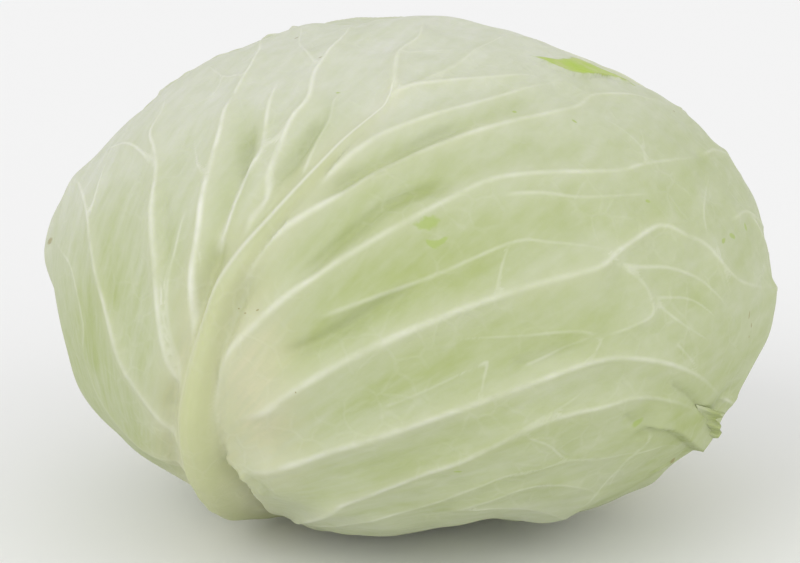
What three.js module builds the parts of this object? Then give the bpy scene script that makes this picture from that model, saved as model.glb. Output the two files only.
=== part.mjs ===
import * as THREE from "three";

// A flat-headed white cabbage, in millimetres, +Z up, standing stem down on the plane z = 0.
//
// Every surface of the head is a distance along a direction from the head's centre. The leaves are
// wrapped in layers: each one is drawn on a flat map of its own side of the head, laid over the
// layers inside it, and comes down under the head to the short cut stem.

// Driving dimensions
const HALF_WIDTH = 118;
const HALF_DEPTH = 112.5;
const HALF_HEIGHT = 84;
const CENTRE_HEIGHT = 80; // the centre of the round head above the surface it stands on
const LEAF_THICKNESS = 1.2;
const LEAF_GAP = 1.2; // air between one leaf and the next
const LAYER = LEAF_THICKNESS + LEAF_GAP;
const MARGIN_RELIEF = 34; // how far past its margin a leaf still holds the layers below it down
const BASE_MARGIN_RELIEF = 28; // the same under the head, where the leaves run together
const STEM_RADIUS = 17;
const STEM_RECESS = 2; // the cut face stays this far above the surface
const STEM_CLEARANCE = 3.2; // between the stem and the leaf bases round it
const UNDERSIDE_HOLLOW = 5; // the blades are this far above the surface beside the stem
const HOLLOW_INNER = 24; // from the axis: the hollow has its full depth up to here
const HOLLOW_OUTER = 70; // and has run out here
const HEART_FLOOR = 24; // height of the heart's underside, where the stem enters
const HEART_CLEARANCE = 1.5; // more air round the heart, under the first leaf

// Where the head is fuller (+) or flatter (-) than an ellipsoid: azimuth and elevation in degrees,
// reach in degrees, height in millimetres.
const SWELLINGS = [
  { azimuth: 12, elevation: 36, reach: 34, height: -2.2 },
  { azimuth: 172, elevation: 22, reach: 14, height: -2.2 },
  { azimuth: -178, elevation: 6, reach: 6, height: 2 },
  { azimuth: -177, elevation: -12, reach: 11, height: -4 },
  { azimuth: -8, elevation: -18, reach: 9, height: -2 },
  { azimuth: -30, elevation: -40, reach: 10, height: 2 },
  { azimuth: -68, elevation: -49, reach: 13, height: -6.5 },
  { azimuth: -124, elevation: -36, reach: 13, height: -4 },
];

// The leaves, from the innermost outwards. face: azimuth and elevation of the blade's middle, which
// is the middle of its map. outline: [direction on the map in degrees, 0 to the right and 90 up,
// distance in millimetres]. midrib: [right, up] on the map, from the stem to the tip. pillows:
// where a leaf stands off the layers inside it, [right, up] on its map.
const STEM = "stem"; // stands for the leaf's base at the stem in an outline or a midrib
const LEAF_BASE = [[250, 152], [STEM, 0], [290, 152]]; // the outline's narrowing towards the stem
const LEAVES = [
  {
    name: "crown_leaf",
    face: [24, 50],
    stemAzimuth: 30,
    outline: [[0, 112], [45, 118], [90, 112], [135, 116], [180, 108], [225, 122], ...LEAF_BASE, [315, 120]],
    midrib: [STEM, [6, -190], [3, -110], [-4, -20], [-8, 60]],
    cells: 18,
  },
  {
    name: "left_leaf",
    face: [196, 16],
    stemAzimuth: 210,
    outline: [[0, 128], [45, 118], [90, 122], [135, 116], [180, 124], [225, 128], ...LEAF_BASE, [315, 126]],
    midrib: [STEM, [10, -120], [4, -50], [-2, 20], [2, 80]],
    cells: 18,
  },
  {
    name: "back_right_leaf",
    face: [62, 16],
    stemAzimuth: 66,
    outline: [[0, 124], [45, 126], [90, 132], [135, 120], [180, 128], [225, 124], ...LEAF_BASE, [315, 128]],
    midrib: [STEM, [-6, -120], [-8, -50], [0, 20], [8, 88]],
    cells: 18,
  },
  {
    name: "low_front_leaf",
    face: [-70, 4],
    stemAzimuth: -78,
    outline: [[0, 132], [45, 118], [90, 112], [135, 118], [180, 126], [225, 122], ...LEAF_BASE, [315, 130]],
    midrib: [STEM, [-4, -110], [-6, -50], [0, 10], [6, 70]],
    cells: 18,
  },
  {
    name: "back_left_leaf",
    face: [132, 13],
    stemAzimuth: 130,
    outline: [[0, 134], [40, 140], [85, 136], [130, 128], [180, 130], [225, 128], ...LEAF_BASE, [315, 132]],
    midrib: [STEM, [-8, -110], [-14, -50], [-8, 20], [6, 96]],
    cells: 18,
  },
  {
    name: "right_leaf",
    face: [4, 12],
    stemAzimuth: -14,
    outline: [[0, 130], [45, 128], [90, 124], [140, 132], [180, 134], [225, 130], ...LEAF_BASE, [315, 128]],
    midrib: [STEM, [8, -110], [12, -50], [4, 20], [-10, 92]],
    cells: 18,
  },
  {
    name: "front_leaf",
    face: [-90, 14],
    stemAzimuth: -164,
    outline: [
      [0, 164], [35, 160], [62, 150], [90, 158], [120, 160], [150, 158], [178, 153], [205, 158],
      [228, 166], [STEM, 0], [263, 174], [272, 165], [288, 152], [305, 142], [328, 138], [345, 154],
    ],
    midrib: [
      STEM, [-70, -168], [-86, -150], [-92, -132], [-90, -114], [-84, -96], [-76, -78], [-69, -60],
      [-64, -42], [-59, -20], [-50, 2], [-37, 22], [-22, 40], [-8, 60], [-6, 94],
    ],
    pillows: [
      { at: [-26, -86], reach: 30, height: 2 },
      { at: [58, -100], reach: 20, height: 2.5 },
      { at: [-100, -62], reach: 22, height: 2.5 },
      { at: [118, -64], reach: 12, height: 3 },
    ],
    cells: 34,
  },
];

// The midrib's cross-section: half its width and its height above the blade, at the stem and the tip
const RIB_HALF_WIDTH = { stem: 13, tip: 3 };
const RIB_HEIGHT = { stem: 9, tip: 0.8 };
const MAP_RADIUS = 110; // millimetres on a leaf's map for one radian round the head
const HEART_SEGMENTS = { round: 30, down: 16 };

const materials = {
  outerLeaf: new THREE.MeshStandardMaterial({ color: 0xbfc99a, roughness: 0.5, metalness: 0 }),
  innerLeaf: new THREE.MeshStandardMaterial({ color: 0xd3dab4, roughness: 0.5, metalness: 0 }),
  heart: new THREE.MeshStandardMaterial({ color: 0xe6e8cf, roughness: 0.5, metalness: 0 }),
  stem: new THREE.MeshStandardMaterial({ color: 0xdcdcc0, roughness: 0.7, metalness: 0 }),
};

const smoothstep = (x, low, high) => THREE.MathUtils.smoothstep(x, low, high);
const bell = (x) => Math.exp(-x * x);
const DOWN = new THREE.Vector3(0, 0, -1);

/** The unit direction of an azimuth (0 = +X, 90 = +Y) and an elevation, in degrees. */
function direction(azimuth, elevation) {
  const [a, e] = [azimuth, elevation].map(THREE.MathUtils.degToRad);
  return new THREE.Vector3(Math.cos(e) * Math.cos(a), Math.cos(e) * Math.sin(a), Math.sin(e));
}

const swellings = SWELLINGS.map((s) => ({ ...s, towards: direction(s.azimuth, s.elevation) }));

/** Distance from the centre to the round head's outside, before its underside is shaped. */
function roundRadius(towards) {
  const ellipsoid = 1 / Math.hypot(towards.x / HALF_WIDTH, towards.y / HALF_DEPTH, towards.z / HALF_HEIGHT);
  return swellings.reduce((radius, s) => {
    const angle = THREE.MathUtils.radToDeg(towards.angleTo(s.towards));
    return radius + s.height * bell(angle / s.reach);
  }, ellipsoid);
}

/** Distance from the centre to the horizontal plane at a height, or infinity looking up. */
function planeRadius(towards, height) {
  return towards.z < -0.05 ? (CENTRE_HEIGHT - height) / -towards.z : Infinity;
}

/** Distance from the centre to the outermost blade surface, hollowed round the stem. */
function bladeRadius(towards) {
  const radius = Math.min(roundRadius(towards), planeRadius(towards, 0));
  if (towards.z > -0.3) return radius;
  const fromAxis = radius * Math.hypot(towards.x, towards.y);
  return radius - UNDERSIDE_HOLLOW * (1 - smoothstep(fromAxis, HOLLOW_INNER, HOLLOW_OUTER));
}

/** The flat map of one leaf: distance and direction from the blade's middle are true on it. */
class LeafMap {
  constructor([azimuth, elevation]) {
    this.middle = direction(azimuth, elevation);
    this.right = direction(azimuth + 90, 0);
    this.up = new THREE.Vector3().crossVectors(this.middle, this.right);
  }

  polar(towards) {
    return {
      distance: towards.angleTo(this.middle) * MAP_RADIUS,
      angle: Math.atan2(towards.dot(this.up), towards.dot(this.right)),
    };
  }

  towards(distance, angle) {
    const turn = distance / MAP_RADIUS;
    return this.middle
      .clone()
      .multiplyScalar(Math.cos(turn))
      .addScaledVector(this.right, Math.sin(turn) * Math.cos(angle))
      .addScaledVector(this.up, Math.sin(turn) * Math.sin(angle));
  }
}

/** The outline's distance at an angle: eased from each of its points to the next. */
function outlineDistance(outline, angle) {
  const degrees = THREE.MathUtils.euclideanModulo(THREE.MathUtils.radToDeg(angle), 360);
  const after = outline.findIndex(([at]) => at > degrees);
  const [toAngle, to] = outline[Math.max(after, 0)];
  const [fromAngle, from] = outline.at(after > 0 ? after - 1 : -1);
  const span = THREE.MathUtils.euclideanModulo(toAngle - fromAngle, 360);
  const along = THREE.MathUtils.euclideanModulo(degrees - fromAngle, 360) / span;
  return from + (to - from) * smoothstep(along, 0, 1);
}

/** Replaces the STEM place-holders by the leaf's base point, and lays its midrib on the head. */
function settleLeaf(leaf, depthInside) {
  const map = new LeafMap(leaf.face);
  const baseHeight = CENTRE_HEIGHT - UNDERSIDE_HOLLOW - depthInside;
  const baseAngle = Math.atan2(STEM_RADIUS + STEM_CLEARANCE, baseHeight);
  const base = map.polar(direction(leaf.stemAzimuth, THREE.MathUtils.radToDeg(baseAngle) - 90));
  const baseDegrees = THREE.MathUtils.euclideanModulo(THREE.MathUtils.radToDeg(base.angle), 360);
  const outline = leaf.outline.map(([at, distance]) =>
    at === STEM ? [baseDegrees, base.distance] : [at, distance],
  );
  const knots = leaf.midrib.map((knot) => {
    if (knot === STEM) return map.towards(base.distance, base.angle);
    return map.towards(Math.hypot(...knot), Math.atan2(knot[1], knot[0]));
  });
  const line = new THREE.CatmullRomCurve3(knots).getSpacedPoints(60);
  const midrib = line.map((point) => point.normalize().multiplyScalar(bladeRadius(point)));
  const pillows = (leaf.pillows ?? []).map(({ at: [right, up], reach, height }) => {
    return { towards: map.towards(Math.hypot(right, up), Math.atan2(up, right)), reach, height };
  });
  return { ...leaf, map, outline, midrib, pillows };
}

const leaves = LEAVES.map((leaf, i) => settleLeaf(leaf, LAYER * (LEAVES.length - 1 - i)));

/** 1 on and under a leaf, falling to 0 outside its margin. */
function cover(leaf, towards) {
  const { distance, angle } = leaf.map.polar(towards);
  const under = smoothstep(-towards.z, 0.55, 0.8);
  const relief = THREE.MathUtils.lerp(MARGIN_RELIEF, BASE_MARGIN_RELIEF, under);
  return 1 - smoothstep(distance - outlineDistance(leaf.outline, angle), 0, relief);
}

/** How far leaf number `order` lies inside the outermost surface, and how bare it is there. */
function layering(order, towards) {
  const covers = leaves.slice(order + 1).map((leaf) => cover(leaf, towards));
  const depth = LAYER * covers.reduce((sum, c) => sum + c, 0);
  const bare = covers.reduce((product, c) => product * (1 - c), 1);
  return { depth, bare };
}

/** Height of the midrib above the blade at a point of the blade. */
function ribHeight(leaf, point) {
  const distances = leaf.midrib.map((onRib) => onRib.distanceTo(point));
  const nearest = Math.min(...distances);
  const along = distances.indexOf(nearest) / (leaf.midrib.length - 1);
  const halfWidth = THREE.MathUtils.lerp(RIB_HALF_WIDTH.stem, RIB_HALF_WIDTH.tip, Math.sqrt(along));
  const height = THREE.MathUtils.lerp(RIB_HEIGHT.stem, RIB_HEIGHT.tip, along);
  return height * Math.exp(-((nearest / (0.8 * halfWidth)) ** 3));
}

/** How far a leaf stands off the layers inside it along one direction. */
function standOff(leaf, towards) {
  return leaf.pillows.reduce((sum, pillow) => {
    const away = towards.angleTo(pillow.towards) * MAP_RADIUS;
    return sum + pillow.height * bell(away / pillow.reach);
  }, 0);
}

/** A leaf's outer and inner surface along one direction. */
function leafRadii(order, towards) {
  const { depth, bare } = layering(order, towards);
  const blade = bladeRadius(towards);
  const lifted = blade - depth + standOff(leaves[order], towards);
  const rib = bare * ribHeight(leaves[order], towards.clone().multiplyScalar(blade));
  return {
    outer: Math.min(lifted + rib, planeRadius(towards, 0)),
    inner: Math.min(lifted, planeRadius(towards, 0)) - LEAF_THICKNESS,
  };
}

/** Carries a point of the square from -1 to 1 to the unit disc, keeping areas even. */
function squareToDisc(x, y) {
  if (x === 0 && y === 0) return { size: 0, angle: 0 };
  const sideways = Math.abs(x) > Math.abs(y);
  const size = sideways ? x : y;
  const angle = (Math.PI / 4) * (sideways ? y / x : 2 - x / y);
  return size < 0 ? { size: -size, angle: angle + Math.PI } : { size, angle };
}

/** A geometry from points in the head's frame and the triangles between them. */
function geometryFrom(points, triangles) {
  const geometry = new THREE.BufferGeometry().setFromPoints(points);
  geometry.setIndex(triangles.flat());
  geometry.translate(0, 0, CENTRE_HEIGHT);
  geometry.computeVertexNormals();
  return geometry;
}

/** The closed shell of one leaf: outer face, inner face and the rim between them. */
function leafGeometry(order) {
  const { cells, outline, map } = leaves[order];
  const side = cells + 1;
  const outerFace = [];
  const innerFace = [];
  for (let k = 0; k < side * side; k++) {
    const [x, y] = [k % side, Math.floor(k / side)].map((n) => (2 * n) / cells - 1);
    const { size, angle } = squareToDisc(x, y);
    const towards = map.towards(size * outlineDistance(outline, angle), angle);
    const { outer, inner } = leafRadii(order, towards);
    outerFace.push(towards.clone().multiplyScalar(outer));
    innerFace.push(towards.clone().multiplyScalar(inner));
  }
  const triangles = [];
  const inside = side * side; // the inner face's points follow the outer face's
  const addTriangle = (a, b, c) => {
    triangles.push([a, b, c], [a + inside, c + inside, b + inside]);
  };
  for (let j = 0; j < cells; j++) {
    for (let i = 0; i < cells; i++) {
      const [a, b, c, d] = [j * side + i, j * side + i + 1, (j + 1) * side + i + 1, (j + 1) * side + i];
      const diagonalUp = (2 * i + 1 - cells) * (2 * j + 1 - cells) >= 0; // towards the middle
      if (diagonalUp) {
        addTriangle(a, b, c);
        addTriangle(a, c, d);
      } else {
        addTriangle(a, b, d);
        addTriangle(b, c, d);
      }
    }
  }
  const rim = rimOf(cells);
  rim.forEach((a, k) => {
    const b = rim[(k + 1) % rim.length];
    triangles.push([a, a + inside, b + inside], [a, b + inside, b]);
  });
  return geometryFrom([...outerFace, ...innerFace], triangles);
}

/** The numbers of a square grid's border points, counter-clockwise from its first. */
function rimOf(cells) {
  const side = cells + 1;
  const steps = [...Array(cells).keys()];
  return [
    ...steps.map((n) => n),
    ...steps.map((n) => n * side + cells),
    ...steps.map((n) => cells * side + cells - n),
    ...steps.map((n) => (cells - n) * side),
  ];
}

/** The tight inner head: one closed body under all the leaves, flat where the stem enters. */
function heartGeometry() {
  const { round, down } = HEART_SEGMENTS;
  const place = (towards) => {
    const { depth } = layering(-1, towards);
    return towards.clone().multiplyScalar(
      Math.min(bladeRadius(towards) - depth - HEART_CLEARANCE, planeRadius(towards, HEART_FLOOR)),
    );
  };
  const points = [place(DOWN), place(DOWN.clone().negate())];
  const rings = down - 1;
  for (let j = 1; j <= rings; j++) {
    for (let i = 0; i < round; i++) {
      points.push(place(direction((360 * i) / round, (180 * j) / down - 90)));
    }
  }
  const at = (j, i) => 2 + (j - 1) * round + (i % round);
  const triangles = [];
  for (let i = 0; i < round; i++) {
    triangles.push([0, at(1, i + 1), at(1, i)], [1, at(rings, i), at(rings, i + 1)]);
    for (let j = 1; j < rings; j++) {
      triangles.push([at(j, i), at(j, i + 1), at(j + 1, i + 1)]);
      triangles.push([at(j, i), at(j + 1, i + 1), at(j + 1, i)]);
    }
  }
  return geometryFrom(points, triangles);
}

/** The short cut stem: a stub with a bevelled cut, widening a little up to the heart. */
function stemGeometry() {
  const top = HEART_FLOOR - 0.4;
  const bevel = 1.5;
  const profile = [
    [0, STEM_RECESS],
    [STEM_RADIUS - bevel, STEM_RECESS],
    [STEM_RADIUS, STEM_RECESS + bevel],
    [STEM_RADIUS + 0.8, top],
    [0, top],
  ].map(([radius, height]) => new THREE.Vector2(radius, height));
  return new THREE.LatheGeometry(profile, 28).rotateX(Math.PI / 2);
}

function named(name, geometry, material) {
  const mesh = new THREE.Mesh(geometry, material);
  mesh.name = name;
  return mesh;
}

const head = new THREE.Group();
head.add(named("stem", stemGeometry(), materials.stem));
head.add(named("heart", heartGeometry(), materials.heart));
leaves.forEach(({ name }, order) => {
  const outermost = order > leaves.length - 4;
  head.add(named(name, leafGeometry(order), outermost ? materials.outerLeaf : materials.innerLeaf));
});

// The origin is on the surface, under the middle of the head's box.
const middle = new THREE.Box3().setFromObject(head).getCenter(new THREE.Vector3());
head.position.set(-middle.x, -middle.y, 0);

const cabbage = new THREE.Group();
cabbage.add(head);
export default cabbage;
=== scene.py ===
"""The looks of a flat-headed white cabbage that stands stem down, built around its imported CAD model.

As in the CAD model, every surface of the head is a distance along a direction from the head's
centre, and each leaf is drawn on a flat map of its own side of the head. Here the leaves get their
veins, midribs, folds and margins. Lengths are in millimetres until a mesh is made.
"""

import bpy
import numpy as np
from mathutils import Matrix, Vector


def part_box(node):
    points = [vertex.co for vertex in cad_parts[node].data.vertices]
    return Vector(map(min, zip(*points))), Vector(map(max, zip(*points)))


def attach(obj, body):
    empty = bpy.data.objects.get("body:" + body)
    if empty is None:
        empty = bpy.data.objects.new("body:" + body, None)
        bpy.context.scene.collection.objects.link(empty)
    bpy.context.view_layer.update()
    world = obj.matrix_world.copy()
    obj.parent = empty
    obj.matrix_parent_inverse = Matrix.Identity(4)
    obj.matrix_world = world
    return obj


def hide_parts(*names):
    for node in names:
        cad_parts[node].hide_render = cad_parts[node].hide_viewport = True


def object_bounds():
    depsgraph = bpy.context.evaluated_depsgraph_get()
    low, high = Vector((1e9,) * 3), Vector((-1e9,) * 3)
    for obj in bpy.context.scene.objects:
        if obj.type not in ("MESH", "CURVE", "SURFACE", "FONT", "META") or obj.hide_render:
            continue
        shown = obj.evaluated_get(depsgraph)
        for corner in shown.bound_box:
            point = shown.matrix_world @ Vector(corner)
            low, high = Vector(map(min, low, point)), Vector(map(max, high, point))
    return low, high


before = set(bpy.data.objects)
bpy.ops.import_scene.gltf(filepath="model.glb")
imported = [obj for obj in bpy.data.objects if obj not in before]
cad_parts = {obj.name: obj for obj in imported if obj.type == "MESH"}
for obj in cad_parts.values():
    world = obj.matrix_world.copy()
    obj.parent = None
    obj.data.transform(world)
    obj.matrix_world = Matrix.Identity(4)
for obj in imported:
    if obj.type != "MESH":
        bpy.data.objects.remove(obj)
CAD_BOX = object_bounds()
MM = 0.001

# ---------------------------------------------------------------- the head's shape, from the frame

LOW, HIGH = (np.array(corner) / MM for corner in CAD_BOX)
HALF_SHARES = np.array([0.5026, 0.5002, 0.5128])  # the round head's half sizes over the box's sides
HALF = HALF_SHARES * (HIGH - LOW)
CENTRE_SHARE = 0.4884  # height of the head's centre over the box's height
STEM_LOW, STEM_HIGH = (np.array(corner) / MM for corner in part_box("stem"))
STEM_RADIUS = (STEM_HIGH - STEM_LOW)[0] / 2
CENTRE = np.array([*(STEM_LOW + STEM_HIGH)[:2] / 2, CENTRE_SHARE * HIGH[2]])
MAP_RADIUS = 110  # millimetres on a leaf's map for one radian round the head

# Where the head is fuller (+) or flatter (-) than an ellipsoid: azimuth, elevation, reach, height
SWELLINGS = [
    (12, 36, 34, -2.2),
    (172, 22, 14, -2.2),
    (-178, 6, 6, 2),
    (-177, -12, 11, -4),
    (-8, -18, 9, -2),
    (-30, -40, 10, 2),
    (-68, -49, 13, -6.5),
    (-124, -36, 13, -4),
]
HEART_FLOOR = 24  # height of the heart's flat underside
HEART_CLEARANCE = 1.5
UNDERSIDE_HOLLOW = 5  # the blades are this far above the floor beside the stem
HOLLOW_FROM, HOLLOW_TO = 24, 70  # from the axis: full depth up to here, none from here on
FLOOR_BLEND = 2.5  # how softly the round head turns into its flat resting spots

LEAF_THICKNESS = 1.0
MARGIN_THICKNESS = 0.55
LAYER = 1.9  # from one leaf's surface to the next one's below it
MARGIN_RELIEF = 34  # how far past its margin a leaf still holds the ones below it down
BASE_MARGIN_RELIEF = 28  # the same under the head, where the leaves run together
FRONT_SINK = 6  # the leaves under the middle of the front leaf keep clear of its folds
FOLD_ROOM = 3  # the front leaf's own inner face keeps this clear of them
FOLDS_FROM, FOLDS_TO = 8, 34  # in from the front leaf's margin: no such room up to here, all from here


def smoothstep(x, low, high):
    t = np.clip((x - low) / (high - low), 0, 1)
    return t * t * (3 - 2 * t)


def bell(x):
    return np.exp(-np.square(x))


def mix(a, b, share):
    return a + (b - a) * share


def direction(azimuth, elevation):
    """The unit direction of an azimuth (0 = +X, 90 = +Y) and an elevation, in degrees."""
    a, e = np.radians(azimuth), np.radians(elevation)
    return np.stack([np.cos(e) * np.cos(a), np.cos(e) * np.sin(a), np.sin(e)], axis=-1)


def angle_between(towards, other):
    return np.arccos(np.clip(towards @ other, -1, 1))


def round_radius(towards):
    """Distance from the centre to the round head's outside, before its underside is shaped."""
    radius = 1 / np.linalg.norm(towards / HALF, axis=-1)
    for azimuth, elevation, reach, height in SWELLINGS:
        angle = np.degrees(angle_between(towards, direction(azimuth, elevation)))
        radius = radius + height * bell(angle / reach)
    return radius


def floor_radius(towards):
    """Distance from the centre to the floor, far away for what looks up."""
    return CENTRE[2] / np.maximum(-towards[..., 2], 0.05)


def soft_least(a, b, blend):
    """The smaller of two, rounded off where they are within blend of each other."""
    share = np.maximum(blend - np.abs(a - b), 0) / blend
    return np.minimum(a, b) - share * share * blend / 4


def blade_radius(towards):
    """Distance from the centre to the outermost blade surface, hollowed round the stem."""
    radius = soft_least(round_radius(towards), floor_radius(towards), FLOOR_BLEND)
    from_axis = radius * np.hypot(towards[..., 0], towards[..., 1])
    below = smoothstep(-towards[..., 2], 0.3, 0.5)
    return radius - UNDERSIDE_HOLLOW * below * (1 - smoothstep(from_axis, HOLLOW_FROM, HOLLOW_TO))


class LeafMap:
    """The flat map of one leaf: distance and direction from the blade's middle are true on it."""

    def __init__(self, azimuth, elevation):
        self.middle = direction(azimuth, elevation)
        self.right = direction(azimuth + 90, 0)
        self.up = np.cross(self.middle, self.right)

    def spot(self, towards):
        """[right, up] on the map of each direction."""
        distance = angle_between(towards, self.middle) * MAP_RADIUS
        sideways = np.stack([towards @ self.right, towards @ self.up], axis=-1)
        length = np.linalg.norm(sideways, axis=-1)
        return sideways * (distance / np.maximum(length, 1e-9))[..., None]

    def towards(self, spot):
        """The direction of each [right, up] on the map."""
        distance = np.linalg.norm(spot, axis=-1)
        sideways = spot @ np.stack([self.right, self.up])
        sideways = sideways / np.maximum(distance, 1e-9)[..., None]
        turn = (distance / MAP_RADIUS)[..., None]
        return np.cos(turn) * self.middle + np.sin(turn) * sideways


# ---------------------------------------------------------------- drawing on a leaf's map


def smooth_line(knots, step=3.0):
    """A curve through the knots, with a point about every step."""
    knots = np.array(knots, float)
    padded = np.vstack([2 * knots[0] - knots[1], knots, 2 * knots[-1] - knots[-2]])
    points = []
    for a, b, c, d in zip(padded, padded[1:], padded[2:], padded[3:]):
        count = max(2, round(np.linalg.norm(c - b) / step))
        t = (np.arange(count) / count)[:, None]
        bent = (2 * a - 5 * b + 4 * c - d) * t**2 + (3 * b - a - 3 * c + d) * t**3
        points.append(b + ((c - a) * t + bent) / 2)
    return np.vstack([*points, knots[-1]])


def taper(share, length):
    """1 along a line, running out over a share of its length at both ends."""
    return smoothstep(share, 0, length) * (1 - smoothstep(share, 1 - length, 1))


class Chart:
    """A fine square grid over a leaf's map, on which the leaf's relief and colours are drawn."""

    STEP = 0.8
    HALF = 182

    def __init__(self):
        self.axis = np.arange(-self.HALF, self.HALF + self.STEP, self.STEP)
        self.layers = {}

    def layer(self, name, value=0.0):
        """The named layer, with one value everywhere when it is first asked for."""
        if name not in self.layers:
            self.layers[name] = np.full((len(self.axis), len(self.axis)), float(value))
        return self.layers[name]

    def window(self, low, high):
        """The rows and columns of the grid between two corners."""
        (left, bottom), (right, top) = np.searchsorted(self.axis, low), np.searchsorted(self.axis, high)
        return slice(bottom, top), slice(left, right)

    def trace(self, line, reach):
        """The window round a line, and there the distance to it, the side (1 = left) and the share along."""
        rows, columns = self.window(line.min(0) - reach, line.max(0) + reach)
        shape = (rows.stop - rows.start, columns.stop - columns.start)
        square, side, share = np.full(shape, float(reach) ** 2), np.ones(shape), np.zeros(shape)
        steps = np.diff(line, axis=0)
        lengths = np.linalg.norm(steps, axis=1)
        starts = np.concatenate([[0], np.cumsum(lengths)])
        for a, step, length, start in zip(line, steps, lengths, starts):
            corners = np.minimum(a, a + step) - reach, np.maximum(a, a + step) + reach
            near_rows, near_columns = self.window(*corners)
            x, y = self.axis[near_columns] - a[0], self.axis[near_rows, None] - a[1]
            way_x, way_y = step / length
            t = np.clip(x * way_x + y * way_y, 0, length)
            gap = (x - t * way_x) ** 2 + (y - t * way_y) ** 2
            part = (
                slice(near_rows.start - rows.start, near_rows.stop - rows.start),
                slice(near_columns.start - columns.start, near_columns.stop - columns.start),
            )
            closer = gap < square[part]
            np.copyto(square[part], gap, where=closer)
            np.copyto(side[part], np.where(way_x * y >= way_y * x, 1.0, -1.0), where=closer)
            np.copyto(share[part], (start + t) / starts[-1], where=closer)
        return (rows, columns), np.sqrt(square), side, share

    def within(self, outline, window):
        """Which places of a window are inside a closed outline."""
        x, y = self.axis[window[1]], self.axis[window[0], None]
        inside = np.zeros((y.size, x.size), bool)
        for a, b in zip(outline, outline[1:]):
            if a[1] != b[1]:
                crossing = a[0] + (y - a[1]) * (b[0] - a[0]) / (b[1] - a[1])
                inside ^= ((a[1] > y) != (b[1] > y)) & (x < crossing)
        return inside

    def read(self, name, spots):
        """A layer at each spot, blended from the four grid places round it."""
        at = (spots - self.axis[0]) / self.STEP
        cell = np.clip(at.astype(int), 0, len(self.axis) - 2)
        x, y = (at - cell).T
        column, row = cell.T
        layer = self.layer(name)
        low = mix(layer[row, column], layer[row, column + 1], x)
        high = mix(layer[row + 1, column], layer[row + 1, column + 1], x)
        return mix(low, high, y)


# ---------------------------------------------------------------- the leaves

# From the innermost outwards. face: azimuth and elevation of the blade's middle, which is the
# middle of its map. outline: [direction on the map in degrees, 0 to the right and 90 up, distance].
# midrib: [right, up] from the stem to the tip. STEM stands for the leaf's base at the stem.
STEM = "stem"
LEAF_BASE = [(250, 152), STEM, (290, 152)]
LEAVES = [
    {
        "name": "crown_leaf",
        "face": (24, 50),
        "stem_azimuth": 30,
        "outline": [
            (0, 112), (45, 118), (90, 112), (135, 116), (180, 108), (225, 122), *LEAF_BASE, (315, 120),
        ],
        "midrib": [STEM, (6, -190), (3, -110), (-4, -20), (-8, 60)],
        "slot": "inner_leaf",
    },
    {
        "name": "left_leaf",
        "face": (196, 16),
        "stem_azimuth": 210,
        "outline": [
            (0, 128), (45, 118), (90, 122), (135, 116), (180, 124), (225, 128), *LEAF_BASE, (315, 126),
        ],
        "midrib": [STEM, (10, -120), (4, -50), (-2, 20), (2, 80)],
        "slot": "inner_leaf",
    },
    {
        "name": "back_right_leaf",
        "face": (62, 16),
        "stem_azimuth": 66,
        "outline": [
            (0, 124), (45, 126), (90, 132), (135, 120), (180, 128), (225, 124), *LEAF_BASE, (315, 128),
        ],
        "midrib": [STEM, (-6, -120), (-8, -50), (0, 20), (8, 88)],
        "slot": "inner_leaf",
    },
    {
        "name": "low_front_leaf",
        "face": (-70, 4),
        "stem_azimuth": -78,
        "outline": [
            (0, 132), (45, 118), (90, 112), (135, 118), (180, 126), (225, 122), *LEAF_BASE, (315, 130),
        ],
        "midrib": [STEM, (-4, -110), (-6, -50), (0, 10), (6, 70)],
        "slot": "inner_leaf",
    },
    {
        "name": "back_left_leaf",
        "face": (132, 13),
        "stem_azimuth": 130,
        "outline": [
            (0, 134), (40, 140), (85, 136), (130, 128), (180, 130), (225, 128), *LEAF_BASE, (315, 132),
        ],
        "midrib": [STEM, (-8, -110), (-14, -50), (-8, 20), (6, 96)],
        "slot": "outer_leaf",
    },
    {
        "name": "right_leaf",
        "face": (4, 12),
        "stem_azimuth": -14,
        "outline": [
            (0, 130), (45, 128), (90, 124), (140, 132), (180, 134), (225, 130), *LEAF_BASE, (315, 128),
        ],
        "midrib": [STEM, (8, -110), (12, -50), (4, 20), (-10, 92)],
        "slot": "outer_leaf",
    },
    {
        "name": "front_leaf",
        "face": (-90, 14),
        "stem_azimuth": -164,
        "outline": [
            (0, 164), (35, 170), (62, 174), (90, 168), (120, 162), (150, 162), (178, 162), (205, 164),
            (228, 166), STEM, (263, 174), (272, 165), (288, 152), (305, 142), (328, 138), (345, 154),
        ],
        "midrib": [
            STEM, (-68, -168), (-84, -150), (-91, -132), (-89, -114), (-82, -95), (-75, -77), (-70, -60),
            (-65, -41), (-60, -25), (-55, -9), (-50, 1), (-37, 19), (-24, 37), (-9, 58), (-7, 66),
        ],
        "slot": "outer_leaf",
    },
]
# Where the whole head bulges (+) or dips (-) under the front leaf: place on that leaf's map, reach, height
PILLOWS = [
    (-26, -86, 30, 2), (58, -104, 15, 4), (-100, -62, 22, 2.5), (118, -66, 11, 3), (-96, -83, 10, -4.5),
    (-150, 41, 7, 2.5), (-158, 26, 8, 1.6), (-160, 6, 9, 2.2), (-150, -24, 9, -2), (-134, -50, 15, 1.3),
    (-115, 118, 8, 1), (-62, 138, 12, 1.5), (-30, 155, 12, -1.3), (20, 150, 14, 2.2),
    (102, 130, 25, -3.6), (114, 86, 8, 1), (133, 52, 8, 0.8), (146, -26, 9, 1.4), (138, -11, 7, 1.8),
    (117, -50, 7, -2.6), (106, -92, 7, 2), (14, -122, 12, -1.5), (52, -132, 9, 1.8), (-49, -128, 8, 1.4),
    (-68, -122, 9, -2.5),
]
CELLS = {"front_leaf": 296}
OTHER_CELLS = 200
INNER_STEP = 4  # the inner face has one cell for this many of the outer face's, each way

STEM_CLEARANCE = 3.2
RIB_REACH = 60
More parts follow.
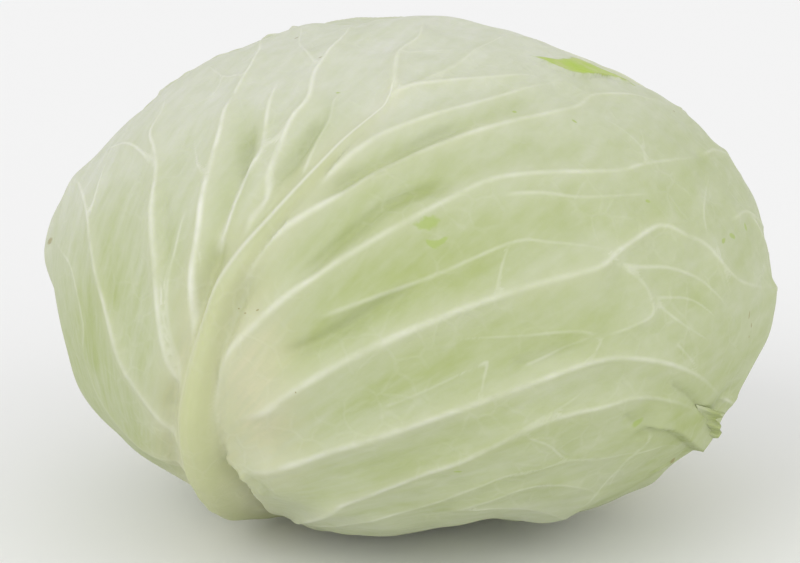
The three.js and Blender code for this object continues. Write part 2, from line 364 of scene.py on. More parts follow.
# A midrib from the stem to the tip: share of its length, half-width, height
FRONT_RIB = [
    (0, 12, 6), (0.08, 11, 2.6), (0.16, 10.5, 4), (0.24, 10.4, 5.7), (0.31, 10.4, 5.9), (0.38, 9.6, 6.1),
    (0.45, 8.6, 6), (0.51, 7.4, 5.6), (0.57, 6.1, 4.9), (0.63, 4.9, 4.2), (0.72, 4.4, 3.2),
    (0.8, 3.6, 2.3), (0.88, 2.8, 1.5), (0.95, 2, 0.8), (1, 1.4, 0.1),
]
OTHER_RIB = [(0, 13, 9), (0.2, 10, 6.4), (0.45, 6, 3.8), (0.7, 3.8, 2.2), (0.9, 2.2, 1), (1, 1.4, 0.5)]

# How a vein looks by its rank, each from its start to its end: the half-width and height of its
# crest, the reach and height of the broad swell that it rides on, and how pale its crest is.
VEIN_RANKS = {
    "main": {
        "half": (1.8, 0.9), "height": (0.5, 0.25), "reach": (4.6, 5), "swell": (2.1, 0.6),
        "pale": (0.55, 0.28),
    },
    "side": {
        "half": (1.1, 0.6), "height": (0.32, 0.15), "reach": (3.8, 3), "swell": (0.95, 0.2),
        "pale": (0.36, 0.18),
    },
    "link": {
        "half": (0.8, 0.5), "height": (0.16, 0.08), "reach": (2.8, 2.2), "swell": (0.3, 0.1),
        "pale": (0.28, 0.12),
    },
}
VEIN_REACH = 15  # no vein lifts the blade further from it than this

# What the photo shows on the front leaf, from here to the brown marks. The points were picked by eye
# in the photo, carried onto the leaf's map by a separate program that knows the camera and the head's
# shape, rounded, and in places moved by hand; so were those of the front leaf's midrib.
# Its veins on its map, each from the midrib outwards:
FRONT_VEINS = {
    "main": [
        [
            (-71, -63), (-76, -56), (-85, -41), (-93, -25), (-102, -4), (-110, 12), (-115, 19),
            (-129, 31), (-154, 44),
        ],
        [
            (-67, -42), (-73, -27), (-77, -4), (-79, 6), (-87, 33), (-93, 44), (-100, 54), (-102, 67),
            (-113, 81),
        ],
        [(-59, -30), (-63, -19), (-64, 0), (-64, 14), (-66, 45), (-68, 65), (-72, 104), (-91, 139)],
        [(-59, 3), (-56, 12), (-53, 28), (-49, 38), (-50, 47), (-52, 67), (-53, 78)],
        [
            (-50, 6), (-47, 16), (-44, 21), (-44, 32), (-41, 51), (-37, 61), (-38, 80), (-32, 116),
            (-36, 150),
        ],
        [(-10, 60), (-7, 64), (-7, 78), (-5, 94), (3, 109), (6, 136)],
        [(-12, 58), (0, 66), (13, 70), (30, 73), (54, 79)],
        [(-30, 24), (-16, 38), (-7, 45), (17, 56), (30, 62), (47, 70), (59, 76)],
        [
            (-50, -8), (-44, 4), (-38, 11), (-25, 20), (-7, 32), (16, 43), (36, 51), (58, 59), (71, 69),
            (90, 73), (128, 76),
        ],
        [
            (-68, -68), (-63, -51), (-60, -41), (-54, -26), (-47, -18), (-32, -5), (-10, 9), (9, 20),
            (23, 27), (41, 30), (65, 32), (78, 36), (115, 45),
        ],
        [
            (-57, -46), (-44, -41), (-33, -33), (-14, -22), (6, -13), (29, -5), (52, 1), (60, 6),
            (76, 14), (86, 11), (95, 8), (109, -3), (141, -7),
        ],
        [
            (-59, -64), (-46, -62), (-26, -53), (-11, -47), (13, -38), (33, -31), (45, -27), (58, -25),
            (73, -27), (85, -31), (97, -37), (115, -48),
        ],
        [
            (-59, -121), (-29, -81), (-16, -71), (13, -56), (35, -44), (55, -40), (66, -38), (78, -40),
            (89, -44), (104, -51),
        ],
    ],
    "side": [
        [
            (-78, -78), (-84, -69), (-97, -65), (-104, -57), (-113, -40), (-115, -28), (-113, -18),
            (-121, 2), (-150, 14),
        ],
        [(-66, -38), (-70, -27), (-73, -8), (-71, 14), (-69, 22)],
        [(-91, 37), (-100, 44), (-112, 50), (-131, 51)],
        [(-114, 20), (-116, 30), (-119, 44)],
        [(-49, 39), (-46, 43), (-42, 48)],
        [(-34, 28), (-31, 41), (-28, 51), (-28, 62), (-23, 69)],
        [(-38, 82), (-46, 95), (-54, 109), (-61, 136)],
        [(-69, 78), (-74, 83), (-83, 85), (-100, 101)],
        [(1, 69), (14, 78), (21, 86), (28, 96), (40, 111), (58, 132)],
        [(25, 22), (37, 23), (49, 22), (61, 23), (78, 25)],
        [(-28, -14), (-18, -10), (4, -2), (28, 8), (38, 8), (51, 7), (60, 5)],
        [(57, 2), (67, 1), (77, 1), (89, -2), (95, -6), (105, -14)],
        [(60, 2), (68, -4), (70, -9), (70, -13), (63, -16), (53, -19)],
        [
            (-56, -121), (-23, -90), (3, -78), (24, -65), (34, -63), (49, -60), (66, -61), (75, -60),
            (78, -54), (75, -49),
        ],
        [(10, -84), (23, -76), (36, -71), (49, -72), (61, -77), (72, -86)],
        [(14, -81), (30, -82), (51, -92), (73, -112)],
        [(110, 44), (124, 50), (138, 50), (152, 45), (166, 47)],
        [(122, 75), (136, 81), (150, 83), (162, 88)],
        [(112, 18), (128, 23), (146, 19), (164, 22)],
        [(136, -7), (148, -5), (160, -9), (172, -8)],
        [(111, -46), (124, -51), (137, -60), (148, -74)],
        [(134, 50), (146, 60), (158, 66)],
        [(130, 22), (144, 9), (160, 8)],
        [(128, -53), (146, -50), (162, -54)],
    ],
    "link": [
        [(-83, 85), (-81, 72), (-86, 66), (-96, 65)],
        [(-66, 30), (-71, 35), (-78, 48)],
        [(53, -19), (46, -17), (28, -18), (9, -19)],
        [(71, -9), (81, -16), (93, -22)],
        [(71, -8), (86, -9), (98, -16)],
        [(53, -19), (51, -23), (48, -26)],
        [(76, -51), (77, -57), (73, -63), (71, -72), (73, -82)],
        [(-9, -38), (7, -31), (18, -26)],
        [(80, 37), (78, 46), (69, 56)],
        [(22, -6), (24, 1), (27, 8)],
        [(17, -27), (20, -25), (19, -30), (18, -35)],
        [(30, -27), (37, -24), (43, -21), (52, -18)],
        [(79, -22), (84, -26), (89, -30)],
        [(64, -92), (67, -84), (70, -71), (74, -62), (88, -61), (101, -66)],
        [(32, -48), (40, -52), (48, -59), (62, -62)],
        [(25, -49), (34, -43), (44, -38), (50, -34)],
        [(12, -72), (26, -64), (37, -61)],
        [(-6, 90), (7, 95), (24, 95)],
        [(9, 71), (16, 82), (29, 93)],
        [(77, 35), (82, 47), (83, 54)],
        [(100, 9), (101, 0), (105, -9)],
        [(96, 12), (97, 21), (110, 36)],
    ],
}

# Grooves (-) and ridges (+) of the front leaf: route on its map, reach, height
FRONT_FOLDS = [
    ([(-64, -66), (-61, -52), (-58, -39), (-56, -29), (-52, -16), (-47, -4), (-41, 3)], 2, -2.4),
    ([(-61, -53), (-62, -65), (-62, -80), (-67, -100), (-72, -120), (-72, -142)], 3.6, -4.6),
    ([(-92, -84), (-86, -70), (-79, -53), (-74, -38), (-69, -24), (-64, -10)], 2.6, -1.5),
    ([(-31, 19), (-17, 28), (-7, 34), (5, 42), (22, 50)], 2.3, -3),
    ([(-36, -5), (-29, 0), (-23, 6), (-17, 11), (-7, 19), (5, 24), (16, 28)], 2, -2.5),
    ([(-40, -26), (-21, -17), (-10, -10), (4, -3)], 2.1, -2.2),
    ([(-65, -24), (-61, -8), (-58, 4), (-56, 18), (-54, 29), (-56, 44), (-58, 56)], 2.4, -2.8),
    ([(-48, 12), (-43, 26), (-37, 36), (-33, 46), (-30, 56)], 2.2, -2.2),
    ([(-75, 0), (-78, 15), (-82, 28)], 2.6, -1.4),
    ([(-77, -44), (-70, -32)], 1.5, -0.8),
    ([(26, -28), (40, -24), (47, -21)], 2.6, -1.1),
    ([(-57, -65), (-53, -69), (-51, -74), (-53, -79)], 1.6, 1.3),
    ([(-54, -66), (-50, -71), (-49, -77)], 1.4, -0.9),
    ([(-28, -79), (-8, -68), (8, -60)], 2.4, -0.5),
    ([(77, -32), (83, -37), (90, -41), (98, -47), (108, -53)], 1.1, -1.0),
    ([(64, -44), (67, -46), (70, -49)], 1.6, -1.0),
    ([(72, -51), (74, -55)], 2, -0.9),
]

# Where the front leaf's blade folds over itself: route with the upper side on its left, how far
# the rise fades away from it, and the rise.
FRONT_LEDGES = [
    ([(71, -49), (76, -50), (83, -52), (92, -57), (108, -68), (119, -74)], 10, 2.8),
    (
        [
            (-58, -50), (-60, -62), (-57, -66), (-56, -73), (-59, -86), (-64, -104), (-70, -124),
            (-74, -140),
        ],
        8, 2.9,
    ),
    ([(52, 97), (57, 88), (65, 83), (73, 82), (82, 86), (93, 87), (105, 86)], 9, 1.3),
    ([(106, -67), (101, -75), (93, -79)], 5, 0.9),
]

# Greener (+) and paler (-) parts of the front leaf: route, reach, amount. The greener strokes that follow
# the grooves of FRONT_FOLDS are partly the blade's own deeper green between its veins and partly painted
# shade in those grooves; the two narrowest, under 2 wide, are the dark lines along the bottoms of two
# grooves.
FRONT_PATCHES = [
    ([(-30, 20), (-7, 34), (24, 51), (52, 62)], 6, 0.3),
    ([(-26, 22), (-13, 30), (-4, 35), (5, 40)], 1.8, 0.4),
    ([(-36, -5), (-14, 13), (8, 29), (32, 39), (60, 44)], 7, 0.16),
    ([(-33, -3), (-23, 6), (-17, 11), (-7, 19), (5, 24), (14, 27)], 1.8, 0.25),
    ([(-34, -13), (0, 2), (30, 14), (62, 24)], 6, 0.16),
    ([(-48, -31), (-21, -18), (4, -3), (30, 3)], 7, 0.24),
    ([(-27, -42), (4, -27), (40, -18), (64, -14)], 7, 0.3),
    ([(-24, -65), (8, -54), (34, -47), (62, -44)], 7, 0.32),
    ([(0, -36), (16, -37), (30, -40)], 6, 0.14),
    ([(0, -84), (30, -74), (56, -72)], 7, 0.16),
    ([(-65, -24), (-60, -4), (-56, 16), (-54, 32), (-57, 48), (-60, 66)], 4.5, 0.5),
    ([(-50, 4), (-42, 26), (-36, 40), (-30, 56), (-26, 70)], 4.5, 0.4),
    ([(-72, -6), (-77, 12), (-82, 28), (-86, 44)], 5, 0.22),
    ([(-94, -18), (-100, 8), (-106, 36)], 9, 0.24),
    ([(-107, -38), (-109, -20), (-104, 2)], 7, 0.28),
    ([(-101, -63), (-93, -60), (-83, -61)], 6, 0.2),
    ([(81, -50), (93, -50), (105, -57)], 7, 0.2),
    ([(-53, 10), (-49, 21), (-46, 30), (-45, 39)], 3, -0.3),
    # paler over the bulging lobe tip right of the midrib's foot: a painted highlight
    ([(-57, -57), (-50, -57), (-42, -58)], 6, -0.35),
    ([(-16, 50), (-8, 58), (6, 65)], 6, -0.25),
    ([(-119, 10), (-126, 30), (-134, 52)], 8, -0.2),
    ([(102, -78), (94, -84), (84, -92), (70, -100)], 3, 0.35),
]

# The bright green tear at the top right of the front leaf, counter-clockwise
FRONT_TEAR = [
    (53, 97), (57, 89), (65, 84), (73, 83), (82, 86), (93, 88), (104, 86), (102, 93), (92, 100),
    (88, 108), (79, 106), (71, 99), (62, 96),
]

# Small bruises and scars of the front leaf: place on its map, half length and half width, turn in degrees
GREEN_MARKS = [
    ((3.6, 13.2), (3.6, 1.9), 18), ((4.6, 7.2), (2.2, 0.75), -38), ((7.4, 8), (2.6, 0.8), 32),
    ((5.6, 7.4), (2, 1.1), 8), ((104.4, 10.1), (1.6, 0.8), 30), ((110.8, 12.2), (2, 1), -15),
    ((123, 16.4), (1, 1.6), 0), ((74.4, 22.1), (0.9, 0.6), 0), ((56, 52), (1.2, 0.5), -30),
    ((34.8, 54.8), (0.8, 0.7), 0), ((13, -60.1), (1.2, 0.4), 0), ((70.4, -47.8), (2, 1), 50),
    ((-27.8, 65.4), (1, 0.6), 0),
]
BROWN_MARKS = [
    ((118.2, -15.3), (0.4, 1.5), 0), ((121.1, -19.4), (0.4, 0.9), 20), ((120.5, -23.5), (0.4, 0.5), 0),
    ((116.8, 71.6), (0.6, 0.5), 0), ((-153, 13), (2.6, 1.3), 20), ((-38.4, 88.7), (1, 0.5), 0),
    ((-59.2, 119.2), (1.2, 0.8), 0), ((-43.2, -11), (0.5, 0.25), 20), ((-47.2, -12), (0.4, 0.2), 0),
    ((-50.2, -11), (0.25, 0.25), 0), ((-32.1, -33.1), (0.2, 0.3), 0), ((100, -81), (1.4, 0.5), 40),
    ((101.5, -74), (1.5, 0.5), 70),
]

MARGIN_SCALLOPS = [(9, 1.6), (14, 1.2), (23, 0.8), (37, 0.5), (58, 0.3)]  # how many, how far out
MARGIN_WIDTH = 11  # the margin's lift and colours reach this far in
MARGIN_SINK = 1.22  # every margin lies this much closer to the leaf below
TOP_DIP = (21, 170)  # where the front leaf's margin sinks onto the leaves behind
TOP_DIP_REACH, TOP_DIP_DEPTH = 16, 2.6
BLADE_SINK = 0.8  # the front blade lies this much deeper, as its veins rise from it

# The scrap of margin: its root on the front leaf's map, the way it grows, how far it stands up
FRILL_ROOT = [(95, -45), (101, -52), (104, -60), (107, -69)]
FRILL_WAY = np.array([11.0, -3.5])
FRILL_LIFT = 3.4
FRILL_CELLS = 60

STREAK_FOCUS = {"front_leaf": (-110, -100)}  # where the streaks of a leaf spread out from


def eased(points, degrees):
    """The value at each angle, eased from each (angle, value) point to the next all round."""
    points = sorted(points)
    points = [(points[-1][0] - 360, points[-1][1]), *points, (points[0][0] + 360, points[0][1])]
    at, value = np.array(points, float).T
    after = np.searchsorted(at, degrees, side="right")
    return mix(value[after - 1], value[after], smoothstep(degrees, at[after - 1], at[after]))


class Leaf:
    """One leaf's map, outline, midrib and veins."""

    def __init__(self, spec, order):
        self.name, self.slot = spec["name"], spec["slot"]
        self.map = LeafMap(*spec["face"])
        self.rng = np.random.default_rng(100 + order)
        base_height = CENTRE[2] - UNDERSIDE_HOLLOW - LAYER * (len(LEAVES) - 1 - order)
        base_angle = np.arctan2(STEM_RADIUS + STEM_CLEARANCE, base_height)
        self.base = self.map.spot(direction(spec["stem_azimuth"], np.degrees(base_angle) - 90))
        base_degrees = np.degrees(np.arctan2(self.base[1], self.base[0])) % 360
        at_base = (base_degrees, np.hypot(*self.base))
        self.outline = [at_base if point == STEM else point for point in spec["outline"]]
        self.midrib = smooth_line([self.base if knot == STEM else knot for knot in spec["midrib"]])
        self.phases = self.rng.uniform(0, 2 * np.pi, 6)  # of the scallops, and one to spare
        self.chart = Chart()

    def margin(self, spot):
        """How far each spot's direction lets the leaf reach, with the margin's small scallops."""
        angle = np.arctan2(spot[..., 1], spot[..., 0])
        scallops = sum(
            size * np.sin(count * angle + phase)
            for (count, size), phase in zip(MARGIN_SCALLOPS, self.phases)
        )
        length = np.maximum(np.linalg.norm(spot, axis=-1), 1)[..., None]
        as_far_as_base = spot / length * np.hypot(*self.base)
        from_base = np.linalg.norm(as_far_as_base - self.base, axis=-1)
        return eased(self.outline, np.degrees(angle) % 360) + scallops * smoothstep(from_base, 20, 60)

    def inside(self, spot):
        """How far inside the margin each spot is; negative outside."""
        return self.margin(spot) - np.linalg.norm(spot, axis=-1)


leaves = [Leaf(spec, order) for order, spec in enumerate(LEAVES)]
FRONT = len(leaves) - 1


def away_from_margin(inside):
    """0 along the front leaf's margin and 1 in its middle, where its folds can be deep."""
    return smoothstep(inside, FOLDS_FROM, FOLDS_TO)


def layering(order, towards):
    """How far leaf number order lies inside the outermost surface, and how bare it is: once fading
    in over the whole relief of the margins over it, once within a few millimetres of them."""
    relief = mix(MARGIN_RELIEF, BASE_MARGIN_RELIEF, smoothstep(-towards[:, 2], 0.55, 0.8))
    depth, bare, open_sky = np.zeros(len(towards)), np.ones(len(towards)), np.ones(len(towards))
    for over in range(order + 1, len(leaves)):
        inside = leaves[over].inside(leaves[over].map.spot(towards))
        cover = 1 - smoothstep(-inside, 0, relief)
        depth += LAYER * cover
        bare *= 1 - cover
        open_sky *= smoothstep(-inside, 0, 8)
        if over == FRONT:
            depth += FRONT_SINK * away_from_margin(inside)
    return depth, bare, open_sky


# How the other leaves' veins grow, in millimetres and degrees
GROWTH_STEP = 6
FIRST_VEIN, LAST_VEIN = 26.0, 8  # along the midrib: from its start, and before its tip
VEIN_GAPS = (9, 14)
LONGEST_VEIN, LONGEST_BRANCH, LONGEST_LINK = 170, 30, 14
BRANCH_ANGLES, LINK_ANGLES = (24, 36), (60, 85)
CLEAR_OF_MARGIN = 5


def pinnate_veins(leaf):
    """Side veins in turn on both sides of the midrib that curve towards the tip and fork."""
    rng, rib = leaf.rng, leaf.midrib
    lengths = np.linalg.norm(np.diff(rib, axis=0), axis=1)
    along = np.concatenate([[0], np.cumsum(lengths)])
    veins = {"main": [], "side": [], "link": []}

    def grow(start, heading, bend, longest, wobble=0.05):
        route = [start]
        for _ in range(int(longest / GROWTH_STEP)):
            heading += bend * GROWTH_STEP + rng.normal(0, wobble)
            route.append(route[-1] + GROWTH_STEP * np.array([np.cos(heading), np.sin(heading)]))
            if leaf.inside(route[-1]) < CLEAR_OF_MARGIN:
                break
        return route

    side = 1
    at = FIRST_VEIN
    while at < along[-1] - LAST_VEIN:
        k = np.searchsorted(along, at)
        way = rib[min(k + 2, len(rib) - 1)] - rib[k - 1]
        share = at / along[-1]
        turn = np.radians(mix(46, 44, share) + rng.uniform(-4, 4))
        heading = np.arctan2(way[1], way[0]) + side * turn
        route = grow(rib[k], heading, -side * np.radians(mix(0.22, 0.12, share)), LONGEST_VEIN)
        if len(route) > 4:
            veins["main"].append(route)
            add_forks(veins, route, grow, rng)
        side = -side
        at += rng.uniform(*VEIN_GAPS)
    return veins


def add_forks(veins, route, grow, rng):
    """Branches off a side vein, further and further out, and the short links between them."""
    turn = 1
    k = int(rng.integers(4, 8))
    while k < len(route) - 1:
        way = route[k + 1] - route[k]
        heading = np.arctan2(way[1], way[0])
        branch_heading = heading + turn * np.radians(rng.uniform(*BRANCH_ANGLES))
        branch = grow(route[k], branch_heading, -turn * 0.006, LONGEST_BRANCH, 0.06)
        if len(branch) > 2:
            veins["side"].append(branch)
        link_heading = heading - turn * np.radians(rng.uniform(*LINK_ANGLES))
        link = grow(route[k - 2], link_heading, 0, LONGEST_LINK, 0.2)
        if len(link) > 1:
            veins["link"].append(link)
        turn = -turn
        k += int(rng.integers(4, 7))


def draw_veins(chart, veins):
    """Draws the veins' crests and swells, and how each place lies beside its vein."""
    crest, swell = chart.layer("crest"), chart.layer("swell")
    away, side, pale = chart.layer("vein_away", 4), chart.layer("vein_side", 4), chart.layer("vein_pale")
    for rank, routes in veins.items():
        look = VEIN_RANKS[rank]
        for route in routes:
            window, distance, on_side, share = chart.trace(smooth_line(route), VEIN_REACH)
            half = mix(*look["half"], share)
            ends = smoothstep(share, 0, 0.1) * (1 - smoothstep(share, 0.8, 1))
            height = mix(*look["height"], share) * bell(distance / half) * ends
            crest[window] = np.maximum(crest[window], height)
            reach = mix(*look["reach"], share)
            lift = mix(*look["swell"], share) * np.exp(-((distance / reach) ** 1.5)) * ends
            swell[window] = np.cbrt(swell[window] ** 3 + lift**3)
            ratio = distance / half
            closer = ratio < away[window]
            np.copyto(away[window], ratio, where=closer)
            np.copyto(side[window], ratio * on_side, where=closer)
            np.copyto(pale[window], mix(*look["pale"], share) * ends, where=closer)


def draw_midrib(leaf, profile):
    """Draws the midrib's height, its distance in half-widths and the way along it."""
    chart = leaf.chart
    window, distance, side, share = chart.trace(leaf.midrib, RIB_REACH)
    shares, halves, heights = np.array(profile, float).T
    half = np.interp(share, shares, halves)
    chart.layer("rib_away", 6)[window] = distance / half
    chart.layer("rib_side", 6)[window] = distance / half * side
    chart.layer("rib_share")[window] = share
    height = np.interp(share, shares, heights)
    chart.layer("rib")[window] = height * np.exp(-((distance / (0.8 * half)) ** 2.6))


def draw_strokes(chart, name, strokes):
    """Adds soft strokes to a layer: route, reach and amount of each."""
    layer = chart.layer(name)
    for route, reach, amount in strokes:
        window, distance, _, share = chart.trace(smooth_line(route), 3 * reach)
        layer[window] += amount * bell(distance / reach) * taper(share, 0.2)


def draw_ledges(chart, ledges):
    """Raises the left side of each route, sharply at the route and fading away from it."""
    layer = chart.layer("folds")
    for route, fade, height in ledges:
        window, distance, side, share = chart.trace(smooth_line(route), 4 * fade)
        rise = height * np.exp(-distance / fade) * taper(share, 0.15)
        layer[window] += np.where(side > 0, rise, 0)


def draw_front(leaf):
    """Draws what the photo shows on the front leaf."""
    chart = leaf.chart
    draw_veins(chart, FRONT_VEINS)
    draw_midrib(leaf, FRONT_RIB)
    draw_strokes(chart, "folds", FRONT_FOLDS)
    draw_strokes(chart, "patches", FRONT_PATCHES)
    draw_ledges(chart, FRONT_LEDGES)
    outline = np.array([*FRONT_TEAR, FRONT_TEAR[0]], float)
    window, distance, _, _ = chart.trace(outline, 9)
    chart.layer("tear", -9)[window] = np.where(chart.within(outline, window), distance, -distance)


def draw_other(leaf):
    """Draws the grown veins and the midrib of a leaf behind the front one."""
    draw_veins(leaf.chart, pinnate_veins(leaf))
    draw_midrib(leaf, OTHER_RIB)


def unevenness(towards):
    """How far the whole head bulges here, the same for every leaf so that they stay in layers."""
    height = 0.3 * waviness(towards, np.random.default_rng(50), 9)
    height += 0.16 * waviness(towards, np.random.default_rng(51), 4)
    for right, up, reach, rise in PILLOWS:
        pillow = leaves[FRONT].map.towards(np.array([right, up], float))
        height += rise * bell(angle_between(towards, pillow) * MAP_RADIUS / reach)
    return height


def waviness(towards, rng, scale, count=24):
    """Smooth random waves over the head, about 1 high, with features about scale degrees wide."""
    height = np.zeros(len(towards))
    for _ in range(count):
        way = rng.normal(size=3)
        way *= 180 / scale / np.linalg.norm(way)
        height += np.sin(towards @ way * rng.uniform(0.7, 1.3) + rng.uniform(0, 2 * np.pi))
    return height / np.sqrt(count / 2)


# ---------------------------------------------------------------- the leaf meshes


def square_to_disc(x, y):
    """Carries points of the square from -1 to 1 to the unit disc, keeping areas even."""
    sideways = np.abs(x) > np.abs(y)
    size = np.where(sideways, x, y)
    safe = np.where(size == 0, 1, size)
    angle = np.pi / 4 * np.where(sideways, y / safe, 2 - x / safe)
    return size * np.cos(angle), size * np.sin(angle)


def leaf_spots(leaf, cells):
    """The map places of a leaf's grid of points, from its base up to its margin all round."""
    steps = np.linspace(-1, 1, cells + 1)
    steps[[1, -2]] = steps[[1, -2]] + np.array([-0.45, 0.45]) * 2 / cells  # a narrow last cell
    x, y = (grid.ravel() for grid in np.meshgrid(steps, steps))
    disc = np.stack(square_to_disc(x, y), axis=-1)
    return disc * leaf.margin(disc * 100)[:, None]


def leaf_faces(leaf, order, spots):
    """A leaf's outer and inner points and what its material needs to know at each."""
    towards = leaf.map.towards(spots)
    depth, bare, open_sky = layering(order, towards)
    drawn = {name: leaf.chart.read(name, spots) for name in sorted(leaf.chart.layers)}
    inside = leaf.inside(spots)
    edge = 1 - smoothstep(inside, 0, MARGIN_WIDTH)
    beside_rib = smoothstep(drawn["rib_away"], 0.75, 1.1)
    past_rib = smoothstep(drawn["rib_share"], 0.86, 0.98)
    beyond_rib = np.maximum(beside_rib, past_rib)
    veined = open_sky * beyond_rib
    relief = broad_relief(leaf, order, spots, drawn, edge, veined)
    middle = blade_radius(towards) - depth + relief
    thickness = mix(LEAF_THICKNESS, MARGIN_THICKNESS, edge)
    round_off = 0.5 * thickness * (1 - smoothstep(inside, 0, 0.5))
    outer = middle + bare * drawn["rib"] + veined * drawn["crest"] - round_off
    floor = floor_radius(towards)
    outer = soft_least(outer, floor, 1)
    inner = np.minimum(middle, floor - 0.2) - thickness
    if order == FRONT:
        inner -= FOLD_ROOM * away_from_margin(inside)
    looks = leaf_looks(leaf, order, spots, drawn, edge, beyond_rib)
    return towards * outer[:, None] + CENTRE, towards * inner[:, None] + CENTRE, looks


def broad_relief(leaf, order, spots, drawn, edge, veined):
    """How far both faces of a leaf bulge from its layer: swells, unevenness, margin and folds."""
    towards = leaf.map.towards(spots)
    swell = veined * drawn["swell"]
    if order == FRONT:
        swell *= 1 - 0.5 * smoothstep(-spots[:, 0], 58, 72) * smoothstep(-spots[:, 1], -10, 20)
    margin_lift = edge * (0.15 * waviness(towards, leaf.rng, 14) - MARGIN_SINK)
    relief = swell + unevenness(towards) + margin_lift
    if order == FRONT:
        relief += drawn["folds"] - BLADE_SINK * (1 - edge)
        relief -= TOP_DIP_DEPTH * bell(np.linalg.norm(spots - TOP_DIP, axis=1) / TOP_DIP_REACH)
    return relief


def leaf_looks(leaf, order, spots, drawn, edge, beyond_rib):
    """What a leaf's material needs to know at each of its points."""
    looks = {name: drawn[name] for name in ("vein_side", "vein_away", "rib_side", "rib_share")}
    looks["vein_pale"] = drawn["vein_pale"] * beyond_rib
    looks["rib"] = np.exp(-((drawn["rib_away"] / 0.98) ** 5))
    looks["halo"] = np.clip(drawn["swell"] / 1.5, 0, 1) ** 1.6 * beyond_rib
    looks["streak"] = streaks(leaf, spots)
    if order == FRONT:
        looks["vein_pale"] *= front_paleness(spots)
        looks["tear"] = drawn["tear"]
        looks["spot"] = np.column_stack([spots, np.zeros(len(spots))])
        looks["green"] = front_green(spots, drawn)
        looks["cream"] = front_cream(spots, drawn)
    else:
        looks["green"] = 0.5 - 0.2 * smoothstep(spots[:, 1], 0, 110) + 0.15 * edge
        looks["cream"] = 0.75 * bell(drawn["rib_away"] / 2.4)
    return looks


def streaks(leaf, spots):
    """Where each spot is along and across the leaf's streaks, which fan out like its veins."""
    gap = spots - np.array(STREAK_FOCUS.get(leaf.name, leaf.base), float)
    along = np.linalg.norm(gap, axis=1)
    across = np.arctan2(gap[:, 1], gap[:, 0]) * MAP_RADIUS
    return np.column_stack([along, across, np.zeros(len(spots))])


def front_paleness(spots):
    """How much paler or fainter the front leaf's veins are here than their rank says."""
    right, up = spots.T
    height, along = smoothstep(up, -50, 40), smoothstep(right, -70, 0)
    return mix(mix(0.6, 2.0, height), mix(1.15, 0.95, height), along)


def front_green(spots, drawn):
    """How green the front leaf is: whiter towards the top left, greener between the veins, and greener along
    its grooves partly as painted shade.
    """
    right, up = spots.T
    green = 0.59 + 0.12 * bell((right + 10) / 32) * bell((up - 8) / 30) - 0.1 * smoothstep(-up, 66, 96)
    green += 0.08 * smoothstep(-right, 84, 106) * smoothstep(-up, -40, 0)
    green += 0.14 * smoothstep(right, 56, 90) * smoothstep(-up, 10, 50)
    return green - 0.42 * smoothstep(up - 0.3 * right, -5, 100) + 0.45 * drawn["patches"]


def front_cream(spots, drawn):
    """The creamy blade beside the front leaf's midrib, widest on its right."""
    right, up = spots.T
    on_right = bell((right + 46) / 13) * bell((up + 34) / 30)
    on_left = 0.6 * bell((right + 66) / 6) * bell((up + 24) / 22)
    fading = 1 - 0.6 * smoothstep(drawn["rib_share"], 0.6, 0.8)
    along = 0.7 * bell((drawn["rib_away"] - 1) / 1.6) * fading
    return np.clip(np.maximum(on_right + on_left, along), 0, 1)


def grid_quads(side):
    """The four corner numbers of every cell of a square grid of points, counter-clockwise."""
    k = np.arange(side * side).reshape(side, side)
    return np.stack([k[:-1, :-1], k[:-1, 1:], k[1:, 1:], k[1:, :-1]], axis=-1).reshape(-1, 4)


def border(side, step=1):
    """Every step-th border point of a square grid, counter-clockwise from its first."""
    k = np.arange(side * side).reshape(side, side)
    return np.concatenate([k[0, :-1], k[:-1, -1], k[-1, :0:-1], k[:0:-1, 0]])[::step]


UV_OUTER = (np.array([0.015, 0.015]), np.array([0.8, 0.97]))  # corner and size on the leaf's UV map
UV_INNER = (np.array([0.84, 0.015]), np.array([0.145, 0.5]))
UV_RIM = 0.007  # width of the rim's band round the outer face


def grid_uv(side, place):
    """The UV places of a square grid of points."""
    corner, size = place
    steps = np.linspace(0, 1, side)
    return corner + np.stack([grid.ravel() for grid in np.meshgrid(steps, steps)], axis=-1) * size


def rim_faces(side, inner_side):
    """Triangles that close a leaf's margin between its fine outer and coarser inner border points."""
    fine_rim, coarse_rim = border(side), border(inner_side)
    outer_corners, inner_corners = [], []
    for k, corner in enumerate(coarse_rim):
        following = coarse_rim[(k + 1) % len(coarse_rim)]
        fine = [fine_rim[(INNER_STEP * k + n) % len(fine_rim)] for n in range(INNER_STEP + 1)]
        half = INNER_STEP // 2
        for n in range(INNER_STEP):
            outer_corners.append((fine[n + 1], fine[n], corner if n < half else following))
        inner_corners.append((fine[half], corner, following))
    return np.array(outer_corners), np.array(inner_corners)


def rim_uv(corners, *places):
    """The UV places of the rim's triangles: each corner's is looked up in its own list."""
    return np.stack([place[k] for place, k in zip(places, corners.T)], 1).reshape(-1, 2)


